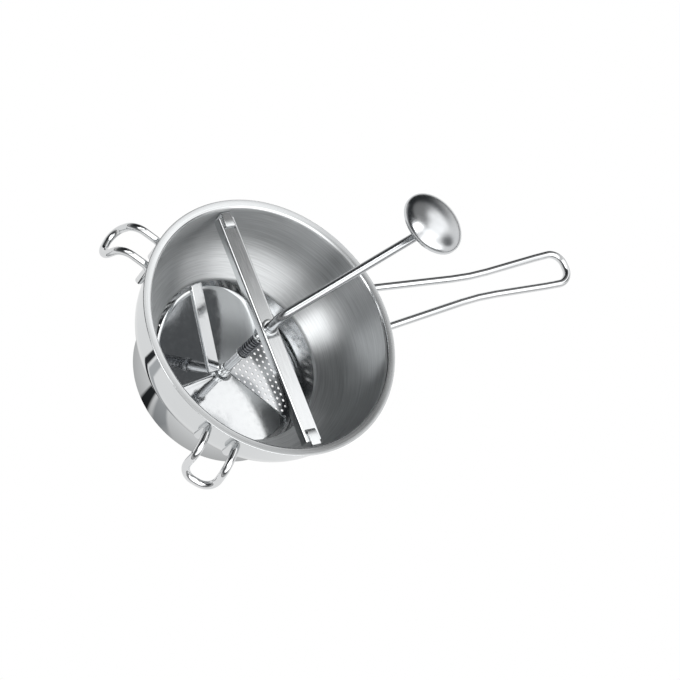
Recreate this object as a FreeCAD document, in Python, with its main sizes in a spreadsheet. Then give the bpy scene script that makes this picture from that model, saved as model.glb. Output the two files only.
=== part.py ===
"""Rotary food mill in stainless steel: bowl, sieve disc, wire handle, pot hooks, sprung crossbar,
crank with a domed knob and a folded pressing blade.

Millimetres. The origin is the middle of the base ring, on the surface that the mill stands on.
+Z is up the bowl's axis, +X runs out along the handle and the crossbar lies along Y.
"""
import FreeCAD, Part
import math
import os
import Sketcher

V = FreeCAD.Vector
Z_AXIS = V(0, 0, 1)

# Driving dimensions, one row of the sheet each. Lengths in mm, angles in degrees, slopes as rise per run.
SIZES = {
    # Spun bowl: outside of the metal
    "wall": 1.0,
    "rim_radius": 120.0,
    "rim_height": 112.0,
    "lip_width": 7.4,
    "lip_round": 2.0,
    "wall_flare": 3.1,
    "belly_height": 60.0,
    "belly_round": 35.0,
    "ring_radius": 77.6,
    "ring_height": 44.0,
    "ring_round": 2.5,
    "foot_flare": 2.4,
    "foot_round": 2.0,
    "seat_flange": 5.6,
    # Sieve disc
    "sieve_sheet": 0.8,
    "sieve_fit": 0.5,
    "sieve_lip": 1.8,
    "sieve_height": 12.0,
    "sieve_skirt": 0.8,
    "hole_size": 3.4,
    "hole_pitch": 7.0,
    "hole_margin": 3.5,
    "sieve_plain_middle": 15.0,
    # Wire of the handle and of the pot hooks
    "weld_gap": 0.15,
    "handle_wire": 7.0,
    "handle_reach": 325.0,
    "handle_drop": 5.6,
    "handle_rise": 5.7,
    "handle_root_width": 39.2,
    "handle_root_bend": 7.2,
    "handle_waist_width": 20.2,
    "handle_waist_reach": 219.0,
    "handle_waist_bend": 260.0,
    "handle_end_width": 28.8,
    "handle_shoulder_bend": 60.0,
    "handle_tip_width": 30.8,
    "handle_tip_bend": 13.0,
    "handle_leg": 27.0,
    "hook_wire": 7.0,
    "hook_angle": 134.0,
    "hook_width": 27.8,
    "hook_drop": 9.0,
    "hook_leg": 24.0,
    "hook_bend": 7.5,
    "hook_crest_rise": 2.4,
    "hook_crest_shift": 8.9,
    "hook_crest_bend": 14.0,
    "hook_overhang": 36.3,
    "hook_tip_drop": 34.0,
    "hook_tip_width": 30.8,
    "hook_tip_bend": 12.5,
    # Crossbar, a folded channel, and the lugs that hold its ends down
    "bar_drop": 5.0,
    "bar_end_gap": 5.1,
    "bar_width": 17.0,
    "bar_sheet": 1.5,
    "bar_flange": 8.0,
    "bar_bend": 2.0,
    "slot_length": 3.8,
    "slot_width": 11.0,
    "slot_inset": 7.0,
    "lug_sheet": 1.5,
    "lug_width": 9.0,
    "lug_height": 11.0,
    "lug_gap": 0.3,
    "lug_hook": 2.0,
    # Bush in the middle of the bar and the spring under it
    "shaft_fit": 0.08,
    "bush_flange_radius": 7.5,
    "bush_flange": 1.4,
    "bush_radius": 5.4,
    "bush_length": 14.0,
    "bush_washer_radius": 7.6,
    "bush_washer": 1.0,
    "spring_wire": 1.4,
    "spring_inner_radius": 3.7,
    "spring_length": 34.0,
    "spring_turns": 12.0,
    "spring_end_gap": 0.05,
    "spring_washer_radius": 6.0,
    "spring_washer": 1.0,
    "clip_radius": 5.2,
    "clip_sheet": 1.0,
    "clip_groove": 0.7,
    # Crank rod and knob
    "rod": 6.5,
    "rod_tip": 3.0,
    "crank_azimuth": 13.7,
    "crank_bend_rise": 17.0,
    "crank_round": 11.0,
    "knob_reach": 134.0,
    "knob_rise": 89.5,
    "knob_lean": 8.0,
    "knob_round": 9.0,
    "knob_radius": 29.5,
    "knob_dome": 9.5,
    "knob_edge": 2.8,
    "knob_edge_round": 1.0,
    "knob_sheet": 1.2,
    "knob_sleeve_radius": 7.0,
    "knob_sleeve_below": 3.0,
    "knob_sleeve_top": 5.0,
    "knob_base_sheet": 1.0,
    "knob_retainer_radius": 5.6,
    "knob_retainer": 1.2,
    "knob_play": 0.3,
    # Blade, hub and scraper arm; azimuths from +X, with the crank at rest
    "blade_sheet": 1.2,
    "blade_gap": 0.3,
    "blade_lift": 3.5,
    "press_azimuth": -53.0,
    "press_offset": 2.0,
    "press_lip_run": 3.0,
    "press_gap": 0.3,
    "fold_azimuth": 190.0,
    "fold_slope": 0.1,
    "entry_azimuth": 28.0,
    "entry_slope": 0.011,
    "hub_radius": 6.0,
    "hub_gap": 0.5,
    "hub_shoulder": 5.5,
    "hub_collar_radius": 5.0,
    "hub_collar": 5.0,
    "hub_pin": 2.2,
    "hub_pin_overhang": 0.8,
    "hub_pin_fit": 0.05,
    "arm_azimuth": 91.0,
    "arm_offset": 10.7,
    "arm_width": 11.0,
    "arm_sheet": 2.0,
    "arm_end_gap": 1.2,
}

# Sizes that follow from the driving ones, as formulas in a second sheet.
DERIVED = {
    "neck_radius": "sizes.rim_radius - sizes.lip_width",
    "belly_radius": "neck_radius - sizes.wall_flare",
    "foot_radius": "sizes.ring_radius + sizes.foot_flare",
    "wall_slope": "sizes.wall_flare / (sizes.rim_height - sizes.belly_height)",
    "lip_under": "sizes.rim_height - sizes.wall",
    "lip_under_radius": "neck_radius - sizes.wall * wall_slope",
    "lip_inner_radius": "neck_radius - sizes.wall * sqrt(1 + wall_slope^2)",
    "ring_inside": "sizes.ring_radius - sizes.wall",
    "seat_radius": "ring_inside - sizes.seat_flange",
    "sieve_edge": "ring_inside - sizes.sieve_fit",
    "sieve_top": "sizes.sieve_height",
    "sieve_face": "sieve_edge - sizes.sieve_lip - sizes.sieve_skirt",
    "bar_top": "sizes.rim_height - sizes.bar_drop",
    "bar_under": "bar_top - sizes.bar_sheet",
    "rod_radius": "sizes.rod / 2",
    "shaft_bore": "rod_radius + sizes.shaft_fit",
    "bush_end": "bar_under - sizes.bush_length",
    "spring_top": "bush_end - sizes.bush_washer - sizes.spring_end_gap",
    "spring_bottom": "spring_top - sizes.spring_length",
    "spring_seat": "spring_bottom - sizes.spring_end_gap - sizes.spring_washer",
    "lug_top": "bar_top + sizes.lug_gap + sizes.lug_sheet",
    "bar_half_length": "neck_radius - sizes.bar_drop * wall_slope - sizes.wall - sizes.bar_end_gap",
    "slot_outer": "bar_half_length - sizes.slot_inset",
    "hook_reach": "sizes.rim_radius + sizes.hook_overhang",
    "blade_radius": "sieve_face - sizes.blade_gap",
    "blade_mid": "sieve_top + sizes.blade_lift",
    "hub_foot": "sieve_top + sizes.hub_gap",
    "hub_step": "blade_mid + sizes.hub_shoulder",
    "hub_top": "hub_step + sizes.hub_collar",
    "hub_pin_height": "hub_step + sizes.hub_collar / 2",
    "knob_pin_top": "sizes.knob_sleeve_top + sizes.knob_play + sizes.knob_retainer",
}

doc = FreeCAD.newDocument("food_mill")


def make_sheet(name, rows, formula=False):
    """A sheet with one aliased cell a row."""
    sheet = doc.addObject("Spreadsheet::Sheet", name)
    for row, (alias, content) in enumerate(rows.items(), 1):
        sheet.set(f"A{row}", alias)
        sheet.set(f"B{row}", f"={content}" if formula else str(content))
        sheet.setAlias(f"B{row}", alias)
    doc.recompute()
    return sheet


sizes = make_sheet("sizes", SIZES)
derived = make_sheet("derived", DERIVED, formula=True)


def value(expression):
    """The number that an expression on the sheets comes to."""
    return float(sizes.evalExpression(expression))


def size(alias):
    """A size from either sheet."""
    return float(getattr(sizes if alias in SIZES else derived, alias))


def new_body(label):
    body = doc.addObject("PartDesign::Body", label)
    body.Label = label
    return body


def new_sketch(body, name, role, lift=None):
    """A sketch on one of the body's own origin planes, lifted along its normal by an expression."""
    sketch = body.newObject("Sketcher::SketchObject", name)
    plane = next(f for f in body.Origin.OriginFeatures if f.Role == role)
    sketch.AttachmentSupport = (plane, [""])
    sketch.MapMode = "FlatFace"
    if lift:
        sketch.setExpression("AttachmentOffset.Base.z", lift)
    return sketch


def bind(sketch, constraint, expression):
    index = sketch.addConstraint(constraint)
    sketch.setExpression(f"Constraints[{index}]", expression)


def add_outline(sketch, corners):
    """A closed outline of straight lines; each corner is a pair of expressions."""
    points = [V(value(x), value(y), 0) for x, y in corners]
    count = len(points)
    first = sketch.GeometryCount
    for i in range(count):
        sketch.addGeometry(Part.LineSegment(points[i], points[(i + 1) % count]), False)
    for i in range(count):
        sketch.addConstraint(Sketcher.Constraint("Coincident", first + i, 2, first + (i + 1) % count, 1))
    for i, (x, y) in enumerate(corners):
        bind(sketch, Sketcher.Constraint("DistanceX", -1, 1, first + i, 1, points[i].x), x)
        bind(sketch, Sketcher.Constraint("DistanceY", -1, 1, first + i, 1, points[i].y), y)


def add_circle(sketch, radius):
    """A circle round the sketch's origin."""
    circle = sketch.addGeometry(Part.Circle(V(0, 0, 0), Z_AXIS, value(radius)), False)
    sketch.addConstraint(Sketcher.Constraint("Coincident", circle, 3, -1, 1))
    bind(sketch, Sketcher.Constraint("Radius", circle, value(radius)), radius)


def add_rectangle(sketch, x_low, x_high, y_low, y_high):
    add_outline(sketch, [(x_low, y_low), (x_high, y_low), (x_high, y_high), (x_low, y_high)])


def revolve(body, name, corners):
    """A solid of revolution round Z from an outline of radius and height pairs."""
    sketch = new_sketch(body, f"{name}_profile", "XZ_Plane")
    add_outline(sketch, corners)
    feature = body.newObject("PartDesign::Revolution", name)
    feature.Profile = sketch
    feature.ReferenceAxis = (sketch, ["V_Axis"])
    feature.Angle = 360.0
    doc.recompute()
    return feature


def pad(body, name, sketch, length, midplane=False):
    feature = body.newObject("PartDesign::Pad", name)
    feature.Profile = sketch
    feature.setExpression("Length", length)
    feature.Midplane = midplane
    doc.recompute()
    return feature


def pocket_through(body, name, sketch):
    """A cut right through, both ways from its sketch; stops the build if it removes nothing."""
    before = body.Shape.Volume
    feature = body.newObject("PartDesign::Pocket", name)
    feature.Profile = sketch
    feature.Type = "ThroughAll"
    feature.Midplane = True
    doc.recompute()
    if body.Shape.Volume >= before:
        raise RuntimeError(f"{name} cuts nothing")
    return feature


def round_edges(body, name, base, edges, radius):
    """A fillet on the numbered edges of the last feature."""
    feature = body.newObject("PartDesign::Fillet", name)
    feature.Base = (base, edges)
    feature.setExpression("Radius", radius)
    doc.recompute()
    return feature


def circle_edges(shape, radius, height):
    """Names of the full circles round Z that have this radius and height."""
    names = []
    for number, edge in enumerate(shape.Edges, 1):
        if edge.Degenerated or edge.Curve.TypeId != "Part::GeomCircle":
            continue
        middle = edge.Curve.Center
        if abs(edge.Curve.Radius - radius) < 1e-4 and abs(middle.z - height) < 1e-4:
            names.append(f"Edge{number}")
    return names


def straight_edges(shape, direction, where):
    """Names of the straight edges along a direction whose middle passes a test."""
    names = []
    for number, edge in enumerate(shape.Edges, 1):
        if edge.Curve.TypeId != "Part::GeomLine":
            continue
        if abs(abs(edge.Curve.Direction.dot(direction)) - 1) < 1e-6 and where(edge.CenterOfMass):
            names.append(f"Edge{number}")
    return names


def make_shape(label, shape):
    """A sub-part whose shape comes straight from the sizes."""
    feature = doc.addObject("Part::Feature", label)
    feature.Label = label
    feature.Shape = shape
    return feature


def polar(radius, azimuth, height=0.0):
    turn = math.radians(azimuth)
    return V(radius * math.cos(turn), radius * math.sin(turn), height)


def bent_path(points, radii):
    """Straight runs joined by tangent arcs: one radius for each inner point."""
    edges = []
    start = points[0]
    for before, corner, after, radius in zip(points, points[1:], points[2:], radii):
        back = (before - corner).normalize()
        ahead = (after - corner).normalize()
        half = back.getAngle(ahead) / 2
        tangent = radius / math.tan(half)
        middle = (back + ahead).normalize()
        arc_start = corner + back * tangent
        arc_end = corner + ahead * tangent
        arc_middle = corner + middle * (radius / math.sin(half) - radius)
        edges.append(Part.LineSegment(start, arc_start).toShape())
        edges.append(Part.Arc(arc_start, arc_middle, arc_end).toShape())
        start = arc_end
    edges.append(Part.LineSegment(start, points[-1]).toShape())
    return Part.Wire(edges)


def round_wire(path, diameter):
    """Round wire along a path, as one solid."""
    first = path.OrderedEdges[0]
    start = first.valueAt(first.FirstParameter)
    ahead = first.tangentAt(first.FirstParameter)
    section = Part.Wire(Part.Circle(start, ahead, diameter / 2).toShape())
    solid = Part.Solid(path.makePipeShell([section], True, False))
    if solid.Volume < 0:
        solid.reverse()
    expected = math.pi * diameter ** 2 / 4 * path.Length
    if abs(solid.Volume - expected) > 0.01 * expected:
        raise RuntimeError("a wire's volume is not its section times its length")
    return solid


def outer_wall_radius(height):
    """Outside radius of the bowl's upper wall at a height."""
    return size("neck_radius") - (size("rim_height") - height) * size("wall_slope")


# Bowl: a filled turning, hollowed to the wall, with a flat lip round the mouth and a seat flange left
# round the sieve opening
def make_bowl():
    body = new_body("bowl")
    last = revolve(body, "bowl_turning", [
        ("0", "0"),
        ("derived.foot_radius", "0"),
        ("sizes.ring_radius", "sizes.ring_height"),
        ("derived.belly_radius", "sizes.belly_height"),
        ("derived.neck_radius", "sizes.rim_height"),
        ("0", "sizes.rim_height"),
    ])
    bends = (
        ("foot_bend", "foot_radius", 0.0, "foot_round"),
        ("ring_bend", "ring_radius", size("ring_height"), "ring_round"),
        ("belly_bend", "belly_radius", size("belly_height"), "belly_round"),
    )
    for name, radius, height, bend in bends:
        edges = circle_edges(last.Shape, size(radius), height)
        last = round_edges(body, name, last, edges, f"sizes.{bend}")
    shell = body.newObject("PartDesign::Thickness", "bowl_shell")
    top = max(range(len(last.Shape.Faces)), key=lambda i: last.Shape.Faces[i].CenterOfMass.z)
    shell.Base = (last, [f"Face{top + 1}"])
    shell.setExpression("Value", "sizes.wall")
    shell.Reversed = True
    doc.recompute()
    mid_wall = "derived.neck_radius - sizes.wall / 2"
    lip = revolve(body, "bowl_lip", [
        (mid_wall, "derived.lip_under"),
        ("sizes.rim_radius", "derived.lip_under"),
        ("sizes.rim_radius", "sizes.rim_height"),
        (mid_wall, "sizes.rim_height"),
    ])
    under = circle_edges(lip.Shape, size("lip_under_radius"), size("lip_under"))
    lip = round_edges(body, "lip_bend_under", lip, under, "sizes.lip_round")
    over = circle_edges(lip.Shape, size("lip_inner_radius"), size("rim_height"))
    round_edges(body, "lip_bend_over", lip, over, "sizes.lip_round + sizes.wall")
    opening = new_sketch(body, "sieve_opening_profile", "XY_Plane")
    add_circle(opening, "derived.seat_radius")
    pocket_through(body, "sieve_opening", opening)


# Sieve disc: a perforated face on a pressed skirt whose lip lies on the bowl's seat flange
def make_sieve():
    sheet = size("sieve_sheet")
    face_radius = size("sieve_face")
    under = size("sieve_top") - sheet
    pitch = size("hole_pitch")
    hole = size("hole_size") / 2
    outer_limit = face_radius - size("hole_margin") - hole
    inner_limit = size("sieve_plain_middle") + hole
    row_step = pitch * math.sqrt(3) / 2
    rows = int(outer_limit / row_step)
    columns = int(outer_limit / pitch) + 1
    wires = [Part.Wire(Part.Circle(V(0, 0, under), Z_AXIS, radius).toShape())
             for radius in (face_radius, size("shaft_bore"))]
    for row in range(-rows, rows + 1):
        for column in range(-columns, columns + 1):
            middle = V((column + 0.5 * (row % 2)) * pitch, row * row_step, under)
            if inner_limit <= math.hypot(middle.x, middle.y) <= outer_limit:
                corners = [middle + polar(hole, 60 * i + 30) for i in range(7)]
                wires.append(Part.makePolygon(corners))
    face = Part.Face(wires, "Part::FaceMakerBullseye").extrude(V(0, 0, sheet))
    skirt_foot = face_radius + size("sieve_skirt")
    floor = size("wall")
    section = [
        V(face_radius, 0, under), V(skirt_foot - sheet, 0, floor), V(size("sieve_edge"), 0, floor),
        V(size("sieve_edge"), 0, floor + sheet), V(skirt_foot, 0, floor + sheet),
        V(face_radius, 0, size("sieve_top")), V(face_radius, 0, under),
    ]
    skirt = Part.Face(Part.makePolygon(section)).revolve(V(0, 0, 0), Z_AXIS, 360)
    make_shape("sieve_disc", face.fuse(skirt).removeSplitter())


# Long handle: one loop of wire, its legs turned down the bowl's wall and welded there
def make_handle():
    wire = size("handle_wire")
    top = size("rim_height") - size("handle_drop")
    stand_off = wire / 2 + size("weld_gap")
    half_root = size("handle_root_width") / 2
    half_waist = size("handle_waist_width") / 2
    half_end = size("handle_end_width") / 2

    def out_along(reach):
        rise = (reach - size("rim_radius")) * math.tan(math.radians(size("handle_rise")))
        return top + rise

    def on_wall(height):
        radius = outer_wall_radius(height) + stand_off
        return V(math.sqrt(radius ** 2 - half_root ** 2), half_root, height)

    reach = size("handle_reach") - wire / 2
    shoulder = reach - 2 * half_end
    half = [
        on_wall(top - size("handle_leg")),
        on_wall(top),
        V(size("handle_waist_reach"), half_waist, out_along(size("handle_waist_reach"))),
        V(shoulder, half_end, out_along(shoulder)),
        V(reach, size("handle_tip_width") / 2, out_along(reach)),
    ]
    other = [V(p.x, -p.y, p.z) for p in reversed(half)]
    bends = [size(f"handle_{place}_bend") for place in ("root", "waist", "shoulder", "tip")]
    path = bent_path(half + other, bends + bends[::-1])
    make_shape("long_handle", round_wire(path, wire))


# Pot hooks: loops of wire that go up the wall, out over the pot's edge and down
def make_hook(label, azimuth):
    wire = size("hook_wire")
    top = size("rim_height") - size("hook_drop")
    stand_off = wire / 2 + size("weld_gap")
    half_width = size("hook_width") / 2

    def on_wall(height):
        radius = outer_wall_radius(height) + stand_off
        return V(math.sqrt(radius ** 2 - half_width ** 2), half_width, height)

    reach = size("hook_reach") - wire / 2
    crest = (on_wall(top).x + reach) / 2 + size("hook_crest_shift")
    tip_height = size("rim_height") - size("hook_tip_drop")
    half = [
        on_wall(top - size("hook_leg")),
        on_wall(top),
        V(crest, half_width, top + size("hook_crest_rise")),
        V(reach, size("hook_tip_width") / 2, tip_height),
    ]
    other = [V(p.x, -p.y, p.z) for p in reversed(half)]
    bends = [size("hook_bend"), size("hook_crest_bend"), size("hook_tip_bend")]
    path = bent_path(half + other, bends + bends[::-1])
    hook = make_shape(label, round_wire(path, wire))
    hook.Placement = FreeCAD.Placement(V(0, 0, 0), FreeCAD.Rotation(Z_AXIS, azimuth))


# Lugs: folded tabs welded inside the wall, hooked down into the slots of the bar
def make_lug(label, azimuth):
    body = new_body(label)
    inside = "(derived.neck_radius - (sizes.rim_height - {z}) * derived.wall_slope - sizes.wall - sizes.weld_gap)"
    bottom = "(derived.lug_top - sizes.lug_height)"
    under = "(derived.lug_top - sizes.lug_sheet)"
    tip = "(derived.slot_outer - sizes.slot_length / 2 - sizes.lug_sheet / 2)"
    sag = " - sizes.lug_width^2 / (8 * derived.belly_radius)"
    back_top = inside.format(z="derived.lug_top") + sag
    back_bottom = inside.format(z=bottom) + sag
    front_top = inside.format(z=under) + sag + " - sizes.lug_sheet"
    profile = new_sketch(body, f"{label}_profile", "XZ_Plane")
    add_outline(profile, [
        (back_bottom, bottom),
        (back_top, "derived.lug_top"),
        (tip, "derived.lug_top"),
        (tip, f"{under} - sizes.lug_gap - sizes.lug_hook"),
        (f"{tip} + sizes.lug_sheet", f"{under} - sizes.lug_gap - sizes.lug_hook"),
        (f"{tip} + sizes.lug_sheet", under),
        (front_top, under),
        (f"{back_bottom} - sizes.lug_sheet", bottom),
    ])
    pad(body, f"{label}_fold", profile, "sizes.lug_width", midplane=True)
    body.Placement = FreeCAD.Placement(V(0, 0, 0), FreeCAD.Rotation(Z_AXIS, azimuth))


# Crossbar: a channel of folded sheet with a slot near each end and a hole for the bush
def make_crossbar():
    body = new_body("crossbar")
    section = new_sketch(body, "bar_section", "XZ_Plane")
    half = "sizes.bar_width / 2"
    inner = "(sizes.bar_width / 2 - sizes.bar_sheet)"
    foot = "derived.bar_top - sizes.bar_flange"
    add_outline(section, [
        (f"-{half}", foot), (f"-{half}", "derived.bar_top"), (half, "derived.bar_top"), (half, foot),
        (inner, foot), (inner, "derived.bar_under"), (f"-{inner}", "derived.bar_under"), (f"-{inner}", foot),
    ])
    channel = pad(body, "channel", section, "2 * derived.bar_half_length", midplane=True)
    bends = straight_edges(channel.Shape, V(0, 1, 0), lambda p: p.z > size("bar_top") - 1e-6)
    round_edges(body, "channel_bends", channel, bends, "sizes.bar_bend")
    holes = new_sketch(body, "bar_holes", "XY_Plane")
    add_circle(holes, "sizes.bush_radius + sizes.shaft_fit")
    for low, high in (("derived.slot_outer - sizes.slot_length", "derived.slot_outer"),
                      ("-derived.slot_outer", "-(derived.slot_outer - sizes.slot_length)")):
        add_rectangle(holes, "-sizes.slot_width / 2", "sizes.slot_width / 2", low, high)
    pocket_through(body, "bar_openings", holes)


# Bush and washer: the bush's flange lies on the bar and the washer closes its lower end over the spring
def make_bush():
    revolve(new_body("bar_bush"), "bush_turning", [
        ("derived.shaft_bore", "derived.bush_end"),
        ("sizes.bush_radius", "derived.bush_end"),
        ("sizes.bush_radius", "derived.bar_top"),
        ("sizes.bush_flange_radius", "derived.bar_top"),
        ("sizes.bush_flange_radius", "derived.bar_top + sizes.bush_flange"),
        ("derived.shaft_bore", "derived.bar_top + sizes.bush_flange"),
    ])
    revolve(new_body("bush_washer"), "bush_washer_turning", [
        ("derived.shaft_bore", "derived.bush_end - sizes.bush_washer"),
        ("sizes.bush_washer_radius", "derived.bush_end - sizes.bush_washer"),
        ("sizes.bush_washer_radius", "derived.bush_end"),
        ("derived.shaft_bore", "derived.bush_end"),
    ])


# Pressure spring: one helix of round wire between the bush washer and the spring washer
def make_spring():
    wire = size("spring_wire")
    mean_radius = size("spring_inner_radius") + wire / 2
    low = size("spring_bottom") + wire / 2
    rise = size("spring_length") - wire
    turns = size("spring_turns")
    quarters = 4
    steps = int(round(quarters * turns))

    def helix_point(step):
        share = step / steps
        return polar(mean_radius, 360 * turns * share, low + rise * share)

    arcs = [Part.Arc(helix_point(i), helix_point(i + 0.5), helix_point(i + 1)).toShape() for i in range(steps)]
    make_shape("spring", round_wire(Part.Wire(arcs), wire))
    points = [helix_point(i / quarters) for i in range(quarters * steps + 1)]
    half_turn = quarters * quarters // 2
    apart = min(a.distanceToPoint(b) for i, a in enumerate(points) for b in points[i + half_turn:])
    print(f"spring: least gap between turns {apart - wire:.2f} mm")


def make_spring_seat():
    revolve(new_body("spring_washer"), "spring_washer_turning", [
        ("derived.shaft_bore", "derived.spring_seat"),
        ("sizes.spring_washer_radius", "derived.spring_seat"),
        ("sizes.spring_washer_radius", "derived.spring_seat + sizes.spring_washer"),
        ("derived.shaft_bore", "derived.spring_seat + sizes.spring_washer"),
    ])
    revolve(new_body("retaining_ring"), "retaining_ring_turning", [
        ("derived.rod_radius - sizes.clip_groove + sizes.shaft_fit", "derived.spring_seat - sizes.clip_sheet"),
        ("sizes.clip_radius", "derived.spring_seat - sizes.clip_sheet"),
        ("sizes.clip_radius", "derived.spring_seat"),
        ("derived.rod_radius - sizes.clip_groove + sizes.shaft_fit", "derived.spring_seat"),
    ])


def crank_turn():
    return FreeCAD.Rotation(Z_AXIS, size("crank_azimuth"))


def knob_place():
    """Where the knob's axis stands at rest: its origin is the middle of the knob's lower edge."""
    local = FreeCAD.Placement(V(size("knob_reach"), 0, size("rim_height") + size("knob_rise")),
                              FreeCAD.Rotation(V(0, 1, 0), size("knob_lean")))
    return FreeCAD.Placement(V(0, 0, 0), crank_turn()).multiply(local)


# Crank: one bent rod, from the pivot under the sieve through the hub, spring and bush to the knob's pin
def make_rod():
    lean = FreeCAD.Rotation(V(0, 1, 0), size("knob_lean")).multVec(Z_AXIS)
    seat = V(size("knob_reach"), 0, size("rim_height") + size("knob_rise"))
    pin_foot = seat - lean * (size("knob_round") + size("knob_sleeve_below"))
    points = [
        V(0, 0, size("sieve_top") - size("sieve_sheet") - size("rod_tip")),
        V(0, 0, size("rim_height") + size("crank_bend_rise")),
        pin_foot,
        seat + lean * size("knob_pin_top"),
    ]
    rod = round_wire(bent_path(points, [size("crank_round"), size("knob_round")]), size("rod"))
    groove_low = size("spring_seat") - size("clip_sheet")
    groove = Part.makeCylinder(size("rod"), size("clip_sheet"), V(0, 0, groove_low))
    core = Part.makeCylinder(size("rod_radius") - size("clip_groove"), size("clip_sheet"), V(0, 0, groove_low))
    crank = make_shape("crank_rod", rod.cut([groove.cut(core), hub_pin_bore()]))
    crank.Placement = FreeCAD.Placement(V(0, 0, 0), crank_turn())


def hub_pin_cylinder(radius, half_length):
    return Part.makeCylinder(radius, 2 * half_length, V(-half_length, 0, size("hub_pin_height")), V(1, 0, 0))


def hub_pin_bore():
    """The hole across the hub's collar and the rod."""
    return hub_pin_cylinder(size("hub_pin") / 2 + size("hub_pin_fit"), size("hub_radius") + size("rod"))


# Hub: a turned sleeve, pinned across the rod, that carries the blade and the scraper arm
def make_hub():
    section = Part.makePolygon([
        V(size("shaft_bore"), 0, size("hub_foot")),
        V(size("hub_radius"), 0, size("hub_foot")),
        V(size("hub_radius"), 0, size("hub_step")),
        V(size("hub_collar_radius"), 0, size("hub_step")),
        V(size("hub_collar_radius"), 0, size("hub_top")),
        V(size("shaft_bore"), 0, size("hub_top")),
        V(size("shaft_bore"), 0, size("hub_foot")),
    ])
    turning = Part.Face(section).revolve(V(0, 0, 0), Z_AXIS, 360)
    place = FreeCAD.Placement(V(0, 0, 0), crank_turn())
    hub = make_shape("blade_hub", turning.cut(hub_pin_bore()))
    hub.Placement = place
    half_length = size("hub_collar_radius") + size("hub_pin_overhang")
    pin = make_shape("hub_pin", hub_pin_cylinder(size("hub_pin") / 2, half_length))
    pin.Placement = place


def slope_through(first, first_slope, second, second_slope):
    """Gradient of the plane that climbs by these slopes along two azimuths."""
    a = polar(1, first)
    b = polar(1, second)
    area = a.x * b.y - a.y * b.x
    return V((first_slope * b.y - second_slope * a.y) / area, (second_slope * a.x - first_slope * b.x) / area, 0)


def slanted_sheet(plan, gradient, sheet, lift=0.0):
    """The part of a slanted sheet that stands over a flat plan; the thickness and lift are upright."""
    far = 2 * size("blade_radius")
    low = size("blade_mid") + lift - sheet / 2
    corners = [V(x, y, low + gradient.x * x + gradient.y * y)
               for x, y in ((-far, -far), (far, -far), (far, far), (-far, far), (-far, -far))]
    slab = Part.Face(Part.makePolygon(corners)).extrude(V(0, 0, sheet))
    column = plan.extrude(V(0, 0, 2 * far))
    column.translate(V(0, 0, -far))
    return column.common(slab)


def ring_plan(radius):
    """A flat disc with the hub's place left open."""
    return Part.Face([
        Part.Wire(Part.Circle(V(0, 0, 0), Z_AXIS, radius).toShape()),
        Part.Wire(Part.Circle(V(0, 0, 0), Z_AXIS, size("hub_radius") + size("weld_gap")).toShape()),
    ], "Part::FaceMakerBullseye")


def near_gradient():
    return slope_through(size("press_azimuth"), 0.0, size("fold_azimuth"), size("fold_slope"))


def far_gradient():
    return slope_through(size("fold_azimuth"), size("fold_slope"), size("entry_azimuth"), size("entry_slope"))


# Blade: sheet folded once across the hub; its low edge has a lip turned down to press on the sieve
def make_blade():
    press = size("press_azimuth")
    fold = size("fold_azimuth")
    entry = size("entry_azimuth")
    sheet = size("blade_sheet")
    ring = ring_plan(size("blade_radius"))
    far = 2 * size("blade_radius")
    overhang = polar(size("press_offset"), press + 90)

    def wedge(low, high, more=()):
        fan = [polar(far, low + (high - low) * i / 4) for i in range(5)]
        return Part.Face(Part.makePolygon([V(0, 0, 0)] + fan + list(more) + [V(0, 0, 0)]))

    near_plan = ring.common(wedge(fold, press + 360, (polar(far, press) + overhang, overhang)))
    far_plan = ring.common(wedge(entry, fold))
    near = slanted_sheet(near_plan, near_gradient(), sheet)
    rear = slanted_sheet(far_plan, far_gradient(), sheet)
    make_shape("blade_plate", near.fuse([rear, press_lip()]).removeSplitter())


def press_lip():
    """The lip along the pressing edge, from the sheet's edge down to just above the sieve."""
    press = size("press_azimuth")
    sheet = size("blade_sheet")
    run = size("press_lip_run")
    offset = size("press_offset")
    edge_drop = near_gradient().dot(polar(offset, press + 90))
    top = size("blade_mid") + edge_drop + sheet / 2
    low = size("sieve_top") + size("press_gap")
    profile = [(offset, top), (offset, top - sheet), (offset + run, low), (offset + run + sheet, low),
               (offset + sheet / 2, top), (offset, top)]
    start = math.sqrt((size("hub_radius") + size("weld_gap")) ** 2 - offset ** 2)
    end = math.sqrt(size("blade_radius") ** 2 - (offset + run + sheet) ** 2)
    section = [polar(start, press) + polar(across, press + 90, height) for across, height in profile]
    return Part.Face(Part.makePolygon(section)).extrude(polar(end - start, press))


# Scraper arm: a strip over the blade's steep half, level across its width, whose end sweeps the ring's wall
def make_arm():
    along = polar(1, size("arm_azimuth"))
    aside = polar(1, size("arm_azimuth") + 90)
    near_side = aside * (size("arm_offset") - size("arm_width") / 2)
    far_side = aside * (size("arm_offset") + size("arm_width") / 2)
    length = along * size("ring_radius")
    strip = Part.Face(Part.makePolygon([near_side, near_side + length, far_side + length, far_side, near_side]))
    plan = strip.common(ring_plan(size("ring_inside") - size("arm_end_gap")))
    sheet = size("arm_sheet")
    slope = far_gradient()
    lift = (size("blade_sheet") + sheet) / 2 + size("weld_gap") + max(slope.dot(near_side), slope.dot(far_side))
    make_shape("scraper_arm", slanted_sheet(plan, along * slope.dot(along), sheet, lift))


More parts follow.
